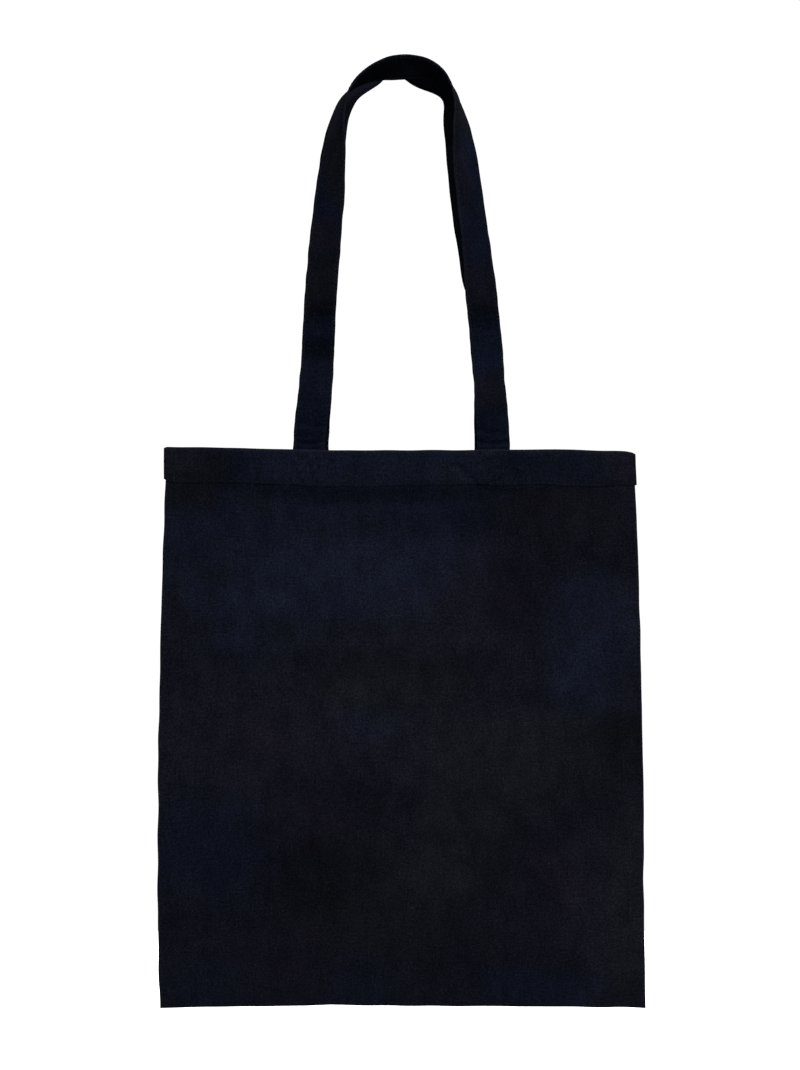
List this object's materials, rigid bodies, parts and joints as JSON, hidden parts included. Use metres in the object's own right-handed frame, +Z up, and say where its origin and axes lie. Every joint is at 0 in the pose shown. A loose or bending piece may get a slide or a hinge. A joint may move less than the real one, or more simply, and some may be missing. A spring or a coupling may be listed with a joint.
{
  "type": "canvas tote bag",
  "caption": "Flat canvas tote bag with a hemmed open mouth and two long sewn handles that swing down over its front and back.",
  "frame": {"origin": "where the bag hangs from: inside the top of the handle loops, on the middle plane between front and rear", "axes": "+Z up along the hanging bag, +X to the right seen from the front, front panel towards -Y"},
  "size_m": [0.3784, 0.0526, 0.7407],
  "materials": {
    "canvas": "matt plain-weave cotton canvas, very dark navy",
    "hem_canvas": "matt canvas turned and pressed in three layers",
    "strap_canvas": "matt canvas folded in four layers",
    "seam_canvas": "matt canvas, raw edges turned inside",
    "thread": "cotton-covered sewing thread, dark navy"
  },
  "bodies": {
    "bag": {"front_panel": "canvas", "front_hem": "hem_canvas", "front_hem_stitching": "thread", "front_hem_end_tacks": "thread", "front_left_strap_end": "strap_canvas", "front_left_cross_stitching": "thread", "front_right_strap_end": "strap_canvas", "front_right_cross_stitching": "thread", "rear_panel": "canvas", "rear_hem": "hem_canvas", "rear_hem_stitching": "thread", "rear_hem_end_tacks": "thread", "rear_left_strap_end": "strap_canvas", "rear_left_cross_stitching": "thread", "rear_right_strap_end": "strap_canvas", "rear_right_cross_stitching": "thread", "left_side_seam": "seam_canvas", "right_side_seam": "seam_canvas", "bottom_seam": "seam_canvas"},
    "front_handle": {"front_strap": "strap_canvas", "front_strap_stitching": "thread"},
    "rear_handle": {"rear_strap": "strap_canvas", "rear_strap_stitching": "thread"}
  },
  "joints": [
    {"name": "front_handle_swing", "type": "hinge", "parent": "bag", "child": "front_handle", "pos_m": [0, -0.0171, -0.2893], "axis": [1, 0, 0], "range_deg": [0, 175]},
    {"name": "rear_handle_swing", "type": "hinge", "parent": "bag", "child": "rear_handle", "pos_m": [0, 0.0171, -0.2893], "axis": [-1, 0, 0], "range_deg": [0, 175]}
  ]
}
